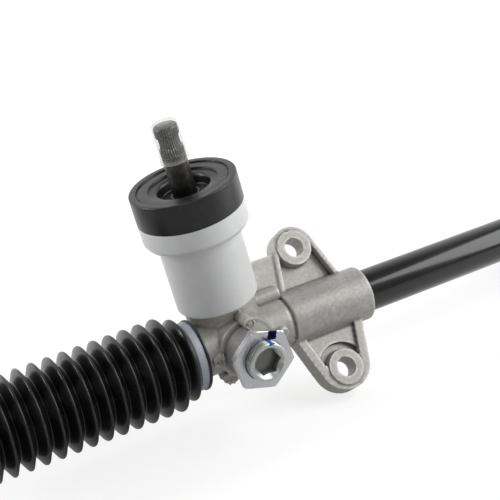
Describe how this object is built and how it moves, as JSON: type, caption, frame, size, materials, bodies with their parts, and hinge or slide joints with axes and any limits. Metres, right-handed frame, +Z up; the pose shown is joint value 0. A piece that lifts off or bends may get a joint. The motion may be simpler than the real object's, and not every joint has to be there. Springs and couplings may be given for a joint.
{
  "type": "steering rack",
  "caption": "Rack-and-pinion steering gear with a cast housing, black tube, rubber boots, a sprung yoke adjuster, a white dust cover and ball-jointed tie rods.",
  "frame": {"origin": "on the rack axis, midway between the two mounting holes of the gear housing", "axes": "+X along the rack towards the long tube, -Y towards the yoke adjuster, +Z up; the pinion leans 7.2 degrees from +Z towards -X"},
  "size_m": [1.218, 0.1016, 0.2262],
  "materials": {
    "cast_housing": "sand-blasted die-cast aluminium",
    "tube_paint": "gloss black paint",
    "bush_plastic": "moulded acetal",
    "collar_paint": "gloss black paint",
    "bearing_steel": "ground bearing steel",
    "cage_steel": "pressed steel",
    "clip_steel": "blackened spring steel",
    "oil_seal_rubber": "moulded rubber on a steel case",
    "foot_bush": "sintered bronze",
    "cover_plastic": "natural white plastic",
    "seal_rubber": "matt black rubber",
    "yoke_metal": "machined aluminium",
    "spring_steel": "spring steel",
    "plug_zinc": "yellowish zinc plate",
    "nut_zinc": "bright zinc plate",
    "rack_steel": "ground steel, greased",
    "shaft_steel": "dark phosphated steel",
    "cap_clear": "clear plastic",
    "mount_rubber": "matt black rubber",
    "bracket_paint": "black electrocoat",
    "socket_steel": "turned steel",
    "rod_steel": "zinc-plated steel",
    "boot_rubber": "glossy black rubber",
    "band_zinc": "bluish white plated band",
    "clamp_steel": "spring steel"
  },
  "bodies": {
    "housing": {"gear_housing": "cast_housing", "rack_tube": "tube_paint", "tube_bush": "bush_plastic", "tube_end_collar": "collar_paint", "pinion_bearing_outer_race": "bearing_steel", "bearing_circlip": "clip_steel", "pinion_oil_seal": "oil_seal_rubber", "pinion_foot_bush": "foot_bush", "dust_cover": "cover_plastic", "dust_seal": "seal_rubber", "yoke": "yoke_metal", "yoke_liner": "bush_plastic", "yoke_spring": "spring_steel", "yoke_o_ring": "oil_seal_rubber", "yoke_plug": "plug_zinc", "yoke_locknut": "nut_zinc", "left_boot": "boot_rubber", "left_boot_large_clamp": "band_zinc", "right_boot": "boot_rubber", "right_boot_large_clamp": "band_zinc", "mounting_rubber": "mount_rubber", "mounting_bracket": "bracket_paint"},
    "rack": {"rack_bar": "rack_steel", "left_ball_socket": "socket_steel", "left_tab_washer": "clip_steel", "right_ball_socket": "socket_steel", "right_tab_washer": "clip_steel"},
    "pinion": {"pinion_shaft": "shaft_steel", "pinion_bearing_inner_race": "bearing_steel", "shaft_circlip": "clip_steel"},
    "bearing_balls": {"pinion_bearing_balls": "bearing_steel", "pinion_bearing_cage": "cage_steel"},
    "shaft_cap": {"pinion_cap": "cap_clear"},
    "left_seat": {"left_ball_seat": "bush_plastic"},
    "left_rod": {"left_tie_rod": "rod_steel", "left_boot_small_clamp": "clamp_steel"},
    "right_seat": {"right_ball_seat": "bush_plastic"},
    "right_rod": {"right_tie_rod": "rod_steel", "right_boot_small_clamp": "clamp_steel"}
  },
  "joints": [
    {"name": "rack_slide", "type": "slide", "parent": "housing", "child": "rack", "axis": [1, 0, 0], "range_m": [-0.07, 0.07], "deforming": ["left_boot", "right_boot"]},
    {"name": "pinion_spin", "type": "hinge", "parent": "housing", "child": "pinion", "pos_m": [-0.0666, 0.01384, 0], "axis": [-0.1253, 0, 0.9921], "range_deg": [-577.2, 577.2]},
    {"name": "bearing_ball_orbit", "type": "hinge", "parent": "housing", "child": "bearing_balls", "pos_m": [-0.06998, 0.01384, 0.02679], "axis": [-0.1253, 0, 0.9921], "range_deg": [-237.6, 237.6]},
    {"name": "shaft_cap_pull", "type": "slide", "parent": "pinion", "child": "shaft_cap", "axis": [-0.1253, 0, 0.9921], "range_m": [0, 0.034]},
    {"name": "left_rod_turn", "type": "hinge", "parent": "rack", "child": "left_seat", "pos_m": [-0.202, 0, 0], "axis": [1, 0, 0], "continuous": true},
    {"name": "left_rod_swing", "type": "hinge", "parent": "left_seat", "child": "left_rod", "pos_m": [-0.202, 0, 0], "axis": [0, 1, 0], "range_deg": [-25, 25]},
    {"name": "right_rod_turn", "type": "hinge", "parent": "rack", "child": "right_seat", "pos_m": [0.416, 0, 0], "axis": [1, 0, 0], "continuous": true},
    {"name": "right_rod_swing", "type": "hinge", "parent": "right_seat", "child": "right_rod", "pos_m": [0.416, 0, 0], "axis": [0, 1, 0], "range_deg": [-25, 25]}
  ],
  "couplings": [
    {"joint": "pinion_spin", "follows": "rack_slide", "rad_per_m": 143.18},
    {"joint": "bearing_ball_orbit", "follows": "rack_slide", "rad_per_m": 58.482}
  ]
}
